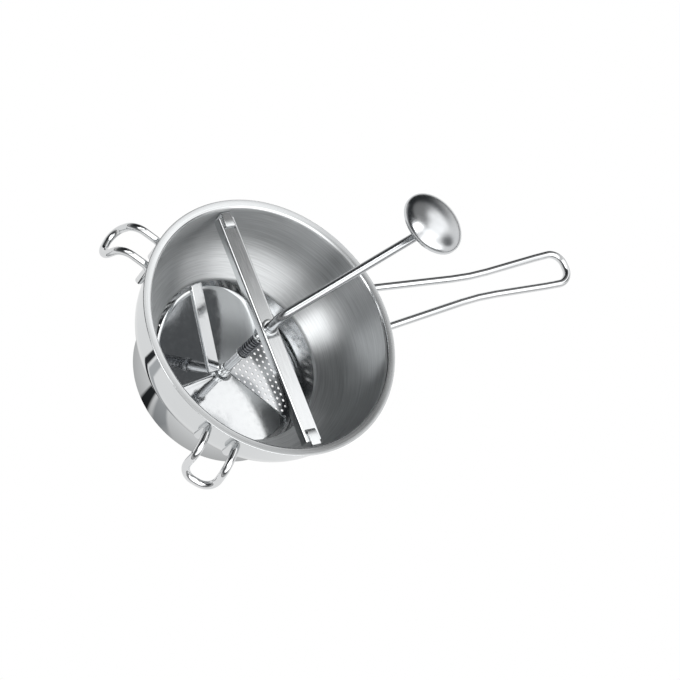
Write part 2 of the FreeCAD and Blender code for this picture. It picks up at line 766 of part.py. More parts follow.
# Knob: a domed cap closed by a base plate, on a sleeve that turns on the rod's end
def make_knob():
    place = knob_place()
    radius = size("knob_radius")
    edge = size("knob_edge")
    crown = edge + size("knob_dome")
    sheet = size("knob_sheet")

    def dome_section(reach, rise, top):
        """Arc from the edge up to the crown, through the sphere's own middle point."""
        sphere = (reach ** 2 + (top - rise) ** 2) / (2 * (top - rise))
        across = reach / 2
        between = top - sphere + math.sqrt(sphere ** 2 - across ** 2)
        return Part.Arc(V(reach, 0, rise), V(across, 0, between), V(0, 0, top)).toShape()

    inner = radius - sheet
    section = Part.Wire([
        Part.LineSegment(V(inner, 0, 0), V(radius, 0, 0)).toShape(),
        Part.LineSegment(V(radius, 0, 0), V(radius, 0, edge)).toShape(),
        dome_section(radius, edge, crown),
        Part.LineSegment(V(0, 0, crown), V(0, 0, crown - sheet)).toShape(),
        dome_section(inner, edge - sheet / 2, crown - sheet),
        Part.LineSegment(V(inner, 0, edge - sheet / 2), V(inner, 0, 0)).toShape(),
    ])
    shell = Part.Face(section).revolve(V(0, 0, 0), Z_AXIS, 360)
    rounds = [shell.getElement(name) for name in circle_edges(shell, radius, edge)]
    cap = make_shape("knob_cap", shell.makeFillet(size("knob_edge_round"), rounds))
    cap.Placement = place
    base = new_body("knob_base")
    revolve(base, "knob_base_turning", [
        ("sizes.knob_sleeve_radius + sizes.weld_gap", "0"),
        ("sizes.knob_radius - sizes.knob_sheet - sizes.weld_gap", "0"),
        ("sizes.knob_radius - sizes.knob_sheet - sizes.weld_gap", "sizes.knob_base_sheet"),
        ("sizes.knob_sleeve_radius + sizes.weld_gap", "sizes.knob_base_sheet"),
    ])
    sleeve = new_body("knob_sleeve")
    revolve(sleeve, "knob_sleeve_turning", [
        ("derived.shaft_bore", "-sizes.knob_sleeve_below"),
        ("sizes.knob_sleeve_radius", "-sizes.knob_sleeve_below"),
        ("sizes.knob_sleeve_radius", "sizes.knob_sleeve_top"),
        ("derived.shaft_bore", "sizes.knob_sleeve_top"),
    ])
    retainer = new_body("knob_retainer")
    revolve(retainer, "knob_retainer_turning", [
        ("derived.shaft_bore", "sizes.knob_sleeve_top + sizes.knob_play"),
        ("sizes.knob_retainer_radius", "sizes.knob_sleeve_top + sizes.knob_play"),
        ("sizes.knob_retainer_radius", "derived.knob_pin_top"),
        ("derived.shaft_bore", "derived.knob_pin_top"),
    ])
    for body in (base, sleeve, retainer):
        body.Placement = place


make_bowl()
make_sieve()
make_handle()
make_hook("pot_hook_left", size("hook_angle"))
make_hook("pot_hook_right", -size("hook_angle"))
make_lug("bar_lug_left", 90)
make_lug("bar_lug_right", -90)
make_crossbar()
make_bush()
make_spring()
make_spring_seat()
make_rod()
make_hub()
make_blade()
make_arm()
make_knob()
doc.recompute()

# Every object has to be sound before anything is written
parts = [o for o in doc.Objects if o.TypeId in ("PartDesign::Body", "Part::Feature")]
for item in doc.Objects:
    if "Invalid" in item.State or "Error" in item.State:
        raise RuntimeError(f"{item.Label} failed: {item.State}")
for part in parts:
    if part.Shape.isNull() or not part.Shape.isValid() or not part.Shape.Solids:
        raise RuntimeError(f"{part.Label} has no sound solid")

os.makedirs("parts", exist_ok=True)
for part in parts:
    part.Shape.exportStep(f"parts/{part.Label}.step")
    print(part.Label, len(part.Shape.Solids), round(part.Shape.Volume, 1))
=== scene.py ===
"""Looks of the food mill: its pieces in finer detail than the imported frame, steel finishes, light and camera.

The row frame, in metres. Lengths in the code that builds the pieces are millimetres and go through MM.
"""
import bpy
import math
from mathutils import Matrix, Vector


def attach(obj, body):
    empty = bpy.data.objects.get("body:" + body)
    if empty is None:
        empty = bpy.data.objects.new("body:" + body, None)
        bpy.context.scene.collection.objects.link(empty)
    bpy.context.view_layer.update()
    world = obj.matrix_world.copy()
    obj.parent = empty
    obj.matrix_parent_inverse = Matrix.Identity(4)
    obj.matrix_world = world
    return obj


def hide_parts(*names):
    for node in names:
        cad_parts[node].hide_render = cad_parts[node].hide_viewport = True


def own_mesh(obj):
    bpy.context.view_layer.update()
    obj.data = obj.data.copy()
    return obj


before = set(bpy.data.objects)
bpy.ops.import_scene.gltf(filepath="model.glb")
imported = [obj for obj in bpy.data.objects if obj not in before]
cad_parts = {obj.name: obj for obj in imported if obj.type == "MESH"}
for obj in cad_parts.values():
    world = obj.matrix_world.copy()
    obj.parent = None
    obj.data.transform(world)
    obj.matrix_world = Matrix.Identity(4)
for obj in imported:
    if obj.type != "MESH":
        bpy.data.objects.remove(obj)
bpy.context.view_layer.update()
MM = 0.001
WHITE = "#ffffff"


# Nodes
def linear(code):
    """An sRGB hex colour as linear RGBA."""
    parts = [int(code[i:i + 2], 16) / 255 for i in (1, 3, 5)]
    return [p / 12.92 if p <= 0.04045 else ((p + 0.055) / 1.055) ** 2.4 for p in parts] + [1.0]


def cleared(owner):
    """The node tree of a material or world, emptied."""
    owner.use_nodes = True
    owner.node_tree.nodes.clear()
    return owner.node_tree


def add_node(tree, kind, links=None, **settings):
    """One node with its settings; links gives each socket a value or another node's output."""
    node = tree.nodes.new(kind)
    for key, setting in settings.items():
        setattr(node, key, setting)
    for socket, source in (links or {}).items():
        if isinstance(source, bpy.types.NodeSocket):
            tree.links.new(source, node.inputs[socket])
        else:
            node.inputs[socket].default_value = source
    return node


def maths(tree, operation, *values):
    """One step of arithmetic."""
    return add_node(tree, "ShaderNodeMath", dict(enumerate(values)), operation=operation).outputs["Value"]


def vector_maths(tree, operation, *vectors):
    """One step of arithmetic on vectors."""
    node = add_node(tree, "ShaderNodeVectorMath", dict(enumerate(vectors)), operation=operation)
    return node.outputs["Value" if operation in ("DOT_PRODUCT", "LENGTH") else "Vector"]


def ranged(tree, value, low, high, first=0.0, last=1.0, curve="LINEAR"):
    """A value's place between low and high, spread from first to last and held at both ends."""
    return add_node(tree, "ShaderNodeMapRange", {
        "Value": value, "From Min": low, "From Max": high, "To Min": first, "To Max": last},
        interpolation_type=curve).outputs["Result"]


def ramped(tree, value, stops):
    """The colour at a value, from stops of place and sRGB code in order."""
    node = add_node(tree, "ShaderNodeValToRGB", {"Fac": value})
    elements = node.color_ramp.elements
    elements[0].position, elements[0].color = stops[0][0], linear(stops[0][1])
    elements[1].position, elements[1].color = stops[-1][0], linear(stops[-1][1])
    for position, code in stops[1:-1]:
        elements.new(position).color = linear(code)
    return node.outputs["Color"]


def blended(tree, share, first, second):
    """A colour that goes from the first to the second."""
    return add_node(tree, "ShaderNodeMix", {0: share, 6: first, 7: second}, data_type="RGBA").outputs[2]


def seen(tree, reflected, direct):
    """One shader for what reflections see, and another for what is seen without them."""
    ray = add_node(tree, "ShaderNodeLightPath").outputs["Is Camera Ray"]
    return add_node(tree, "ShaderNodeMixShader", {
        0: ray, 1: reflected.outputs[0], 2: direct.outputs[0]}).outputs[0]


# Finishes. Every steel is a full metal with the default IOR; what differs is how its surface was made
def steel(name, pale, deep, smooth, rough, grain, wander=None, circular=False, anisotropic=0.0, bump=0.1,
          depth=0.00002):
    """Steel whose grain wanders between two roughnesses and two colours.

    grain is in cells per metre along each axis, or for a circular grain per metre up the profile and per radius
    round it. The colour drifts by itself, in wander cells per metre, or else follows the grain.
    """
    material = bpy.data.materials.new(name)
    tree = cleared(material)
    place = add_node(tree, "ShaderNodeTexCoord").outputs["Object"]
    along = place
    if circular:
        flat = vector_maths(tree, "MULTIPLY", place, (1, 1, 0))
        height = add_node(tree, "ShaderNodeSeparateXYZ", {0: place}).outputs["Z"]
        climb = maths(tree, "ADD", vector_maths(tree, "LENGTH", flat), height)
        heading = add_node(tree, "ShaderNodeSeparateXYZ", {0: vector_maths(tree, "NORMALIZE", flat)}).outputs
        along = add_node(tree, "ShaderNodeCombineXYZ", {
            "X": climb, "Y": heading["X"], "Z": heading["Y"]}).outputs[0]
    scaled = vector_maths(tree, "MULTIPLY", along, grain)
    fine = add_node(tree, "ShaderNodeTexNoise", {"Vector": scaled, "Scale": 1.0, "Detail": 3.0}).outputs["Fac"]
    drift = fine
    if wander:
        drift = add_node(tree, "ShaderNodeTexNoise", {"Vector": place, "Scale": wander, "Detail": 2.0}).outputs["Fac"]
    relief = add_node(tree, "ShaderNodeBump", {"Height": fine, "Strength": bump, "Distance": depth})
    shader = add_node(tree, "ShaderNodeBsdfPrincipled", {
        "Base Color": ramped(tree, drift, ((0.35, deep), (0.65, pale))), "Metallic": 1.0,
        "Roughness": ranged(tree, fine, 0.3, 0.7, smooth, rough), "Normal": relief.outputs["Normal"],
        "Anisotropic": anisotropic})
    if circular:
        tangent = add_node(tree, "ShaderNodeTangent", direction_type="RADIAL", axis="Z")
        tree.links.new(tangent.outputs["Tangent"], shader.inputs["Tangent"])
        shader.inputs["Anisotropic Rotation"].default_value = 0.25
    add_node(tree, "ShaderNodeOutputMaterial", {"Surface": shader.outputs["BSDF"]})
    return material


# Spun on a chuck and brushed as it turned: grooves of about 0.1 mm, drawn here at 1.1 mm so that they show,
# each some 30 mm long, that pull every light into a streak from the middle to the rim
spun = steel("stainless_spun_and_brushed_round", "#cacccd", "#b6b8b9", 0.33, 0.39, (900, 3, 3), circular=True,
             anisotropic=1.0)
# The same sheet buffed on a wheel: a clear mirror that only the sheet's own waver bends
mirror = steel("stainless_sheet_buffed_to_a_mirror", "#dadcdd", "#d4d6d7", 0.03, 0.06, (60, 60, 60), 8, bump=0.05,
               depth=0.0001)
# The ring's inside, reached only by a small buff: a soft mirror, where the sieve's holes show as faint beads
ringed = steel("stainless_spun_and_lightly_buffed", "#dfe1e2", "#d6d8d9", 0.16, 0.2, (300, 300, 300), 10,
               bump=0.05)
# Wire drawn through a die and polished: near mirror, with faint fine marks
drawn = steel("stainless_wire_drawn_and_polished", "#dcddde", "#d2d4d5", 0.04, 0.09, (900, 900, 900), 14,
              bump=0.04)
# Rod ground to size and brushed: a satin that spreads each light softly round it
ground = steel("stainless_rod_ground_and_brushed", "#bcbec0", "#b0b2b4", 0.2, 0.27, (1100, 1100, 1100), 14,
               bump=0.05)
# Sheet rolled and polished flat: a clear mirror with a slight waver from the fold
rolled = steel("stainless_sheet_rolled_and_polished", "#d8dadb", "#ced0d2", 0.06, 0.12, (220, 220, 220), 12,
               bump=0.05)
# Sheet brushed along the bar before folding: streaks along Y, drawn at 0.6 mm across, that blur what it mirrors
brushed = steel("stainless_sheet_brushed_lengthwise", "#dadcdd", "#d0d2d3", 0.08, 0.14, (1600, 60, 1600), 10,
                bump=0.08)
# Sheet polished and then punched from above: a clear face between the holes, with softened hole edges
punched = steel("stainless_sheet_polished_and_punched", "#c8cacc", "#bcbec0", 0.05, 0.09, (700, 700, 700), 16,
                bump=0.05)
# Turned on a lathe: fine rings round the part's axis that break up each light
turned = steel("stainless_bar_turned_on_a_lathe", "#d8dadb", "#c8cacb", 0.08, 0.13, (1500, 2, 2), circular=True,
               bump=0.08)
# Hard spring wire, coiled and left as drawn: darker than the rod inside it, partly its own duller tone and partly
# painted shade for the gaps between the turns, so that each turn stands out
coiled_with_painted_shade = steel("spring_steel_wire_as_drawn_with_painted_shade", "#84868a", "#74767a", 0.14, 0.2, (1200, 1200, 1200), 30,
               bump=0.04)
# Cap pressed from sheet and buffed on a wheel: a mirror dulled to a soft sheen by scuffs from hands
buffed = steel("stainless_cap_pressed_and_buffed", "#dadcde", "#d0d2d4", 0.18, 0.23, (320, 320, 320), 22,
               bump=0.03)


# Shapes
def polar(radius, azimuth, height=0.0):
    """A place by its radius, its azimuth in degrees and its height."""
    turn = math.radians(azimuth)
    return Vector((radius * math.cos(turn), radius * math.sin(turn), height))


def spin(degrees, axis="Z"):
    """A turn about an axis."""
    return Matrix.Rotation(math.radians(degrees), 4, axis)


def rounded(points, radii, closed=False, step=7.0):
    """Straight runs joined by tangent arcs, as points; a radius of 0 keeps the corner."""
    points = [Vector(p) for p in points]
    count = len(points)
    out = []
    for i, (corner, radius) in enumerate(zip(points, radii)):
        if radius == 0 or (not closed and i in (0, count - 1)):
            out.append(corner)
            continue
        back = (points[i - 1] - corner).normalized()
        ahead = (points[(i + 1) % count] - corner).normalized()
        half = back.angle(ahead) / 2
        turn = math.pi - 2 * half
        middle = corner + (back + ahead).normalized() * (radius / math.sin(half))
        first = corner + back * (radius / math.tan(half)) - middle
        last = corner + ahead * (radius / math.tan(half)) - middle
        steps = max(2, math.ceil(math.degrees(turn) / step))
        for k in range(steps + 1):
            share = k / steps
            swing = first * math.sin((1 - share) * turn) + last * math.sin(share * turn)
            out.append(middle + swing / math.sin(turn))
    return out


def loop(half, bends):
    """A wire's path from the points and bend radii of one half; the other half is its mirror image across Y."""
    other = [Vector((p.x, -p.y, p.z)) for p in reversed(half)]
    return rounded(half + other, bends + bends[::-1])


def inset(points, distance):
    """An open outline moved to its left by a distance."""
    lines = []
    for a, b in zip(points, points[1:]):
        a, b = Vector(a), Vector(b)
        along = (b - a).normalized()
        lines.append((a + Vector((-along.y, along.x)) * distance, along))
    out = [lines[0][0]]
    for (p, u), (q, v) in zip(lines, lines[1:]):
        share = ((q - p).x * v.y - (q - p).y * v.x) / (u.x * v.y - u.y * v.x)
        out.append(p + u * share)
    return out


def mesh_from(name, verts, faces):
    """A mesh in metres from points in millimetres."""
    mesh = bpy.data.meshes.new(name)
    mesh.from_pydata([Vector(v) * MM for v in verts], [], faces)
    mesh.validate()
    return mesh


def turning(name, profile, segments):
    """A closed outline of radius and height pairs, turned round Z; points on the axis are one vertex."""
    verts, rings = [], []
    for radius, height in profile:
        if radius < 1e-6:
            verts.append((0, 0, height))
            rings.append([len(verts) - 1] * segments)
        else:
            rings.append(list(range(len(verts), len(verts) + segments)))
            verts += [polar(radius, 360 * i / segments, height) for i in range(segments)]
    faces = []
    for low, high in zip(rings, rings[1:] + rings[:1]):
        for i in range(segments):
            k = (i + 1) % segments
            face = list(dict.fromkeys((low[i], low[k], high[k], high[i])))
            if len(face) > 2:
                faces.append(face)
    return mesh_from(name, verts, faces)


def tube(name, path, diameter, sides):
    """Round wire along a path; its cut ends are broken by a small chamfer."""
    path = [Vector(p) for p in path]
    first = (path[1] - path[0]).normalized()
    last = (path[-1] - path[-2]).normalized()
    bevel = 0.12 * diameter
    path[:1] = [path[0], path[0] + first * bevel]
    path[-1:] = [path[-1] - last * bevel, path[-1]]
    radii = [diameter / 2] * len(path)
    radii[0] = radii[-1] = diameter / 2 - bevel
    ahead = [(b - a).normalized() for a, b in zip(path, path[1:])]
    side = first.orthogonal().normalized()
    verts, faces = [], []
    for i, (point, radius) in enumerate(zip(path, radii)):
        along = (ahead[max(i - 1, 0)] + ahead[min(i, len(ahead) - 1)]).normalized()
        side = (side - along * side.dot(along)).normalized()
        across = along.cross(side)
        for k in range(sides):
            turn = 2 * math.pi * k / sides
            verts.append(point + (side * math.cos(turn) + across * math.sin(turn)) * radius)
    for i in range(len(path) - 1):
        for k in range(sides):
            n = (k + 1) % sides
            faces.append((i * sides + k, i * sides + n, (i + 1) * sides + n, (i + 1) * sides + k))
    faces.append(list(range(sides))[::-1])
    faces.append(list(range((len(path) - 1) * sides, len(path) * sides)))
    return mesh_from(name, verts, faces)


def slab(name, outline, direction):
    """A flat outline pushed along a direction."""
    outline = [Vector(p) for p in outline]
    count = len(outline)
    verts = outline + [p + Vector(direction) for p in outline]
    faces = [(i, (i + 1) % count, count + (i + 1) % count, count + i) for i in range(count)]
    faces += [list(range(count))[::-1], list(range(count, 2 * count))]
    return mesh_from(name, verts, faces)


# Objects
def linked(name, data):
    """A new object in the scene."""
    obj = bpy.data.objects.new(name, data)
    bpy.context.scene.collection.objects.link(obj)
    return obj


def settled(obj):
    """An object's mesh once its curve or its modifiers are worked out."""
    bpy.context.view_layer.update()
    return bpy.data.meshes.new_from_object(obj.evaluated_get(bpy.context.evaluated_depsgraph_get()))


def cut(mesh, tools):
    """The mesh with other meshes cut out of it."""
    work = linked("cut_work", mesh)
    helpers = [linked(f"cut_tool_{i}", tool) for i, tool in enumerate(tools)]
    for i, helper in enumerate(helpers):
        step = work.modifiers.new(f"cut_{i}", "BOOLEAN")
        step.operation, step.solver, step.object = "DIFFERENCE", "EXACT", helper
    result = settled(work)
    for helper in helpers + [work]:
        bpy.data.objects.remove(helper)
    return result


def shaded(mesh):
    """Smooth faces that break only at real corners."""
    corner = math.radians(32)
    mesh.update()
    mesh.polygons.foreach_set("use_smooth", [True] * len(mesh.polygons))
    mesh.set_sharp_from_angle(angle=corner)
    return mesh


def break_edges(obj, width, angle):
    """Corners of more than an angle in degrees, broken to a small round."""
    soft = obj.modifiers.new("broken_edges", "BEVEL")
    soft.width, soft.segments, soft.limit_method = width * MM, 2, "ANGLE"
    soft.angle_limit = math.radians(angle)


def piece(name, mesh, body, slot, material, *nodes, place=None, edge=0.0):
    """A shown piece on its body; edge is the radius its folded or cut edges are broken to."""
    if place:
        mesh.transform(place)
    mesh.materials.clear()
    mesh.materials.append(material)
    obj = linked(name, shaded(mesh))
    if edge:
        break_edges(obj, edge, 35)
    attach(obj, body)
    if nodes:
        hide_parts(*nodes)
    return obj


# Sizes that pieces share: the bowl's radii and heights, its sheet and the slope of its upper wall
RIM_RADIUS, RIM_HEIGHT = 120.0, 112.0
NECK, BELLY, BELLY_HEIGHT = 112.6, 109.5, 60.0
RING, RING_HEIGHT, FOOT, SEAT, WALL = 77.6, 44.0, 80.0, 71.0, 1.0
SLOPE = (NECK - BELLY) / (RIM_HEIGHT - BELLY_HEIGHT)
# The gap between welded pieces, the crank's rod, the radius of the bores round it, the degrees that the crank
# is turned from the handle, and those that the knob leans
WELD = 0.15
ROD, BORE = 8.0, 4.08
CRANK_TURN, KNOB_LEAN = 13.7, 8


def wall_radius(height):
    """Outside of the bowl's upper wall."""
    return NECK - (RIM_HEIGHT - height) * SLOPE


# Bowl: one skin of 1 mm from the seat flange out to the foot, up the ring, out over the belly and up to the lip,
# which is folded out, dips a little inwards and has a rolled edge. The outside is a mirror, the ring's inside a
# soft one, and the lip is turned
def build_bowl():
    top, dip, lip_band, ring_band, turns = RIM_HEIGHT - WALL, 0.4, 0.6, 3, 288
    outer = [(SEAT, 0), (FOOT, 0), (RING, RING_HEIGHT), (BELLY, BELLY_HEIGHT), (wall_radius(top - dip), top - dip)]
    inner = inset(outer + [(RIM_RADIUS, top)], WALL)
    outline = outer + [(RIM_RADIUS, top), (RIM_RADIUS, RIM_HEIGHT)] + inner[:0:-1] + [(SEAT, WALL)]
    radii = [0.2, 2.0, 2.5, 35.0, 2.0, 0.45, 0.45, 3.0, 34.0, 3.5, 1.0, 0.2]
    profile = rounded(outline, radii, closed=True, step=4.0)
    bowl = piece("bowl_skin", turning("bowl_skin", profile, turns), "bowl", "satin_steel", spun, "bowl")
    for finish in (mirror, turned, ringed):
        bowl.data.materials.append(finish)
    inside, outside, on_lip, in_ring = range(4)
    brink = next(i for i, point in enumerate(profile) if point.x > RIM_RADIUS - 0.01)
    bands = []
    for i, (a, b) in enumerate(zip(profile, profile[1:] + profile[:1])):
        height = (a.y + b.y) / 2
        if i < brink:
            bands.append(outside)
        elif height < RING_HEIGHT - ring_band:
            bands.append(in_ring)
        else:
            bands.append(on_lip if height > RIM_HEIGHT - dip - lip_band else inside)
    bowl.data.polygons.foreach_set("material_index", [band for band in bands for _ in range(turns)])


# Sieve: the full pattern of 2.6 mm holes, punched in staggered rows, on a pressed skirt
def build_sieve():
    top, sheet, face, edge = 12.0, 0.8, 73.5, 76.1
    pitch, hole, near_hub, near_edge, reach = 6.0, 1.3, 11.0, 3.0, 20
    sketch = bpy.data.curves.new("sieve_face", "CURVE")
    sketch.dimensions, sketch.fill_mode, sketch.extrude = "2D", "BOTH", sheet / 2 * MM
    rings = [(Vector((0, 0, 0)), face, 160), (Vector((0, 0, 0)), BORE, 32)]
    step = pitch * math.sqrt(3) / 2
    for row in range(-reach, reach + 1):
        for column in range(-reach, reach + 1):
            middle = Vector((row * step, (column + 0.5 * (row % 2)) * pitch, 0))
            if near_hub <= middle.length <= face - near_edge:
                rings.append((middle, hole, 14))
    for middle, radius, count in rings:
        ring = sketch.splines.new("POLY")
        ring.points.add(count - 1)
        ring.use_cyclic_u = True
        for i, point in enumerate(ring.points):
            point.co = ((middle + polar(radius, 360 * i / count)) * MM).to_4d()
    holder = linked("sieve_sketch", sketch)
    mesh = settled(holder)
    bpy.data.objects.remove(holder)
    mesh.transform(Matrix.Translation((0, 0, (top - sheet / 2) * MM)))
    piece("sieve_face", mesh, "bowl", "sieve_steel", punched, "sieve_disc")
    foot, floor = face + 0.8, WALL
    outline = [(face, top - sheet), (foot - sheet, floor), (edge, floor), (edge, floor + sheet),
               (foot, floor + sheet), (face, top)]
    profile = rounded(outline, [0, 0.2, 0.2, 0.2, 0.5, 0], closed=True)
    piece("sieve_skirt", turning("sieve_skirt", profile, 192), "bowl", "sieve_steel", punched)


# Long handle and pot hooks: bent wire, the legs laid against the wall
def build_wires():
    wire, sides = 7.0, 28
    stand_off = wire / 2 + WELD
    root, spread, climb = 106.4, 19.6, math.tan(math.radians(5.7))

    def on_wall(height, half):
        return Vector((math.sqrt((wall_radius(height) + stand_off) ** 2 - half ** 2), half, height))

    def along_handle(reach, half):
        return Vector((reach, half, root + (reach - RIM_RADIUS) * climb))

    half = [on_wall(79.4, spread), on_wall(root, spread), along_handle(219, 10.1), along_handle(292.7, 14.4),
            along_handle(321.5, 15.4)]
    path = loop(half, [0, 7.2, 260, 60, 13])
    piece("handle_loop", tube("handle_loop", path, wire, sides), "bowl", "polished_wire", drawn, "long_handle")
    top, leg, spread, reach = 103.0, 24, 13.9, RIM_RADIUS + 36.3 - wire / 2
    half = [on_wall(top - leg, spread), on_wall(top, spread)]
    half += [Vector(((half[1].x + reach) / 2 + 8.9, spread, top + 2.4)), Vector((reach, 15.4, 78))]
    path = loop(half, [0, 7.5, 14, 12.5])
    for name, azimuth in (("pot_hook_left", 134), ("pot_hook_right", -134)):
        hook = tube(f"{name}_wire", path, wire, sides)
        piece(f"{name}_wire", hook, "bowl", "polished_wire", drawn, name, place=spin(azimuth))


# Crossbar: a folded channel with a slot near each end, and the lugs that hook into the slots
def build_bar():
    top, width, sheet, flange, bend, broken = 107.0, 8.5, 1.5, 8.0, 2.0, 0.25
    end_gap, slot_end, slot_length, slot_half, hole = 5.1, 7.0, 3.8, 5.5, 5.48
    half = wall_radius(top) - WALL - end_gap
    outline = [(-width, top - flange), (-width, top), (width, top), (width, top - flange),
               (width - sheet, top - flange), (width - sheet, top - sheet), (sheet - width, top - sheet),
               (sheet - width, top - flange)]
    section = rounded([(x, -half, z) for x, z in outline], [0, bend, bend, 0, 0, 0.5, 0.5, 0], closed=True)
    channel = slab("bar_channel", section, (0, 2 * half, 0))
    outer = half - slot_end
    inner = outer - slot_length
    low, through = top - 4, (0, 0, 8)
    tools = []
    for sign in (1, -1):
        corners = [(-slot_half, sign * inner), (slot_half, sign * inner), (slot_half, sign * outer),
                   (-slot_half, sign * outer)][::sign]
        plan = rounded([(x, y, low) for x, y in corners], [0.8] * 4, closed=True, step=20)
        tools.append(slab(f"bar_slot_{sign}", plan, through))
    tools.append(slab("bar_hole", [polar(hole, 7.5 * i, low) for i in range(48)], through))
    piece("bar_channel", cut(channel, tools), "crossbar", "polished_steel", brushed, "crossbar", edge=broken)
    lug_top, lug_height, lug_width, hook = 108.8, 11.0, 9.0, 2.3
    bottom, under = lug_top - lug_height, lug_top - sheet
    tip = outer - slot_length / 2 - sheet / 2
    sag = lug_width ** 2 / (8 * BELLY)

    def back(height):
        return wall_radius(height) - WALL - WELD - sag

    outline = [(back(bottom), bottom), (back(lug_top), lug_top), (tip, lug_top), (tip, under - hook),
               (tip + sheet, under - hook), (tip + sheet, under), (back(under) - sheet, under),
               (back(bottom) - sheet, bottom)]
    radii = [0, 1.9, 1.6, 0, 0, 0.4, 0.4, 0]
    section = rounded([(x, lug_width / 2, z) for x, z in outline], radii, closed=True, step=12)
    for name, azimuth in (("bar_lug_left", 90), ("bar_lug_right", -90)):
        fold = slab(f"{name}_fold", section, (0, -lug_width, 0))
        piece(f"{name}_fold", fold, "bowl", "polished_steel", brushed, name, place=spin(azimuth), edge=broken)


def turn_sleeve(name, body, slot, material, outline, radii, place=None):
    """A turned piece that replaces the node of its name; its corners are broken on the lathe."""
    profile = rounded(outline, radii, closed=True, step=22)
    piece(f"{name}_turned", turning(f"{name}_turned", profile, 64), body, slot, material, name, place=place)


# Turned pieces round the shaft, each an outline of radius and height with the round of every corner, and the pin
# through the hub
def build_turned():
    turn_sleeve("bar_bush", "crossbar", "polished_steel", turned,
                [(BORE, 91.5), (5.4, 91.5), (5.4, 107), (7.5, 107), (7.5, 108.4), (BORE, 108.4)],
                [0.3, 0.3, 0, 0.2, 0.5, 0.4])
    turn_sleeve("bush_washer", "crossbar", "polished_steel", turned,
                [(BORE, 90.5), (7.6, 90.5), (7.6, 91.5), (BORE, 91.5)], [0.2] * 4)
    turn_sleeve("spring_washer", "crank", "polished_steel", turned,
                [(BORE, 55.4), (6.0, 55.4), (6.0, 56.4), (BORE, 56.4)], [0.2] * 4)
    turn_sleeve("retaining_ring", "crank", "spring_steel", coiled_with_painted_shade,
                [(2.63, 54.4), (5.2, 54.4), (5.2, 55.4), (2.63, 55.4)], [0.2] * 4)
    turn_sleeve("blade_hub", "crank", "polished_steel", turned,
                [(BORE, 12.5), (6, 12.5), (6, 21), (5, 21), (5, 26), (BORE, 26)], [0.2, 0.3, 0.4, 0.3, 0.5, 0.2])
    reach, height, thick = 5.8, 23.5, 2.2
    pin = tube("hub_pin_turned", [(-reach, 0, height), (0, 0, height), (reach, 0, height)], thick, 20)
    piece("hub_pin_turned", pin, "crank", "polished_steel", turned, "hub_pin", place=spin(CRANK_TURN))


# Pressure spring: turns of wire, the end turns closed up and seated
def build_spring():
    wire, mean, low, high, turns = 1.4, 4.75, 57.15, 89.75, 10
    closing, steps = 0.055, turns * 28
    path = []
    for i in range(steps + 1):
        share = i / steps
        eased = share - closing * math.sin(2 * math.pi * share)
        path.append(polar(mean, 360 * turns * share, low + (high - low) * eased))
    coil = piece("spring_coil", tube("spring_coil", path, wire, 12), "crossbar", "spring_steel", coiled_with_painted_shade, "spring")
    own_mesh(coil)


def dome(reach, rise, top, count):
    """A quarter of an ellipse from its edge to the axis."""
    turns = [math.pi / 2 * i / count for i in range(count + 1)]
    return [(reach * math.cos(turn), rise + (top - rise) * math.sin(turn)) for turn in turns]


# Crank rod, from its tip under the sieve over two bends to the knob's pin, and the knob on its leaning end
def build_crank():
    crank, tilt = spin(CRANK_TURN), math.radians(KNOB_LEAN)
    lean = Vector((math.sin(tilt), 0, math.cos(tilt)))
    tip, corner, neck, pin, seat = 8.2, 129, 12, 6.5, Vector((134, 0, 201.5))
    path = rounded([(0, 0, tip), (0, 0, corner), seat - lean * neck, seat + lean * pin], [0, 11, 9, 0], step=5)
    rod = tube("crank_rod_bent", path, ROD, 28)
    piece("crank_rod_bent", rod, "crank", "polished_wire", ground, "crank_rod", place=crank)
    place = crank @ Matrix.Translation(seat * MM) @ spin(KNOB_LEAN, "Y")
    radius, edge, crown, sheet = 29.5, 2.0, 11.9, 1.2
    inner = radius - sheet
    outside = dome(radius, edge, crown, 24)
    inside = dome(inner, edge - sheet / 2, crown - sheet, 12)
    outline = [(inner, 0), (radius, 0)] + outside + inside[::-1]
    radii = [0.2, 0.4] + [0] * (len(outside) + len(inside))
    profile = [(max(p.x, 0), p.y) for p in rounded(outline, radii, closed=True, step=9)]
    cap = turning("knob_cap_pressed", profile, 128)
    piece("knob_cap_pressed", cap, "knob", "knob_steel", buffed, "knob_cap", place=place)
    for name, body, slot, material, bore, reach, low, high in (
            ("knob_base", "knob", "knob_steel", buffed, 7.15, inner - WELD, 0.0, 1.0),
            ("knob_sleeve", "knob", "polished_steel", turned, BORE, 7.0, -3.0, 5.0),
            ("knob_retainer", "crank", "polished_steel", turned, BORE, 5.6, 5.3, 6.5)):
        outline = [(bore, low), (reach, low), (reach, high), (bore, high)]
        turn_sleeve(name, body, slot, material, outline, [0.2, 0.3, 0.3, 0.2], place)


def gradient(first, first_slope, second, second_slope):
    """Gradient of the plane that climbs by these slopes along two azimuths."""
    a, b = polar(1, first), polar(1, second)
    area = a.x * b.y - a.y * b.x
    along_x = (first_slope * b.y - second_slope * a.y) / area
    along_y = (second_slope * a.x - first_slope * b.x) / area
    return Vector((along_x, along_y, 0))


# Blade: two slanted halves of one sheet with a soft fold between, and a lip rolled down to the sieve. The azimuths
# are those of its pressing edge, its fold and the edge where food enters
PRESS, FOLD, ENTRY = 307.0, 190.0, 28.0
BLADE_MID, BLADE_SHEET, BLADE_RADIUS = 15.5, 1.2, 73.2
FOLD_SLOPE, ENTRY_SLOPE = 0.1, 0.011
NEAR = gradient(PRESS, 0.0, FOLD, FOLD_SLOPE)
FAR = gradient(FOLD, FOLD_SLOPE, ENTRY, ENTRY_SLOPE)


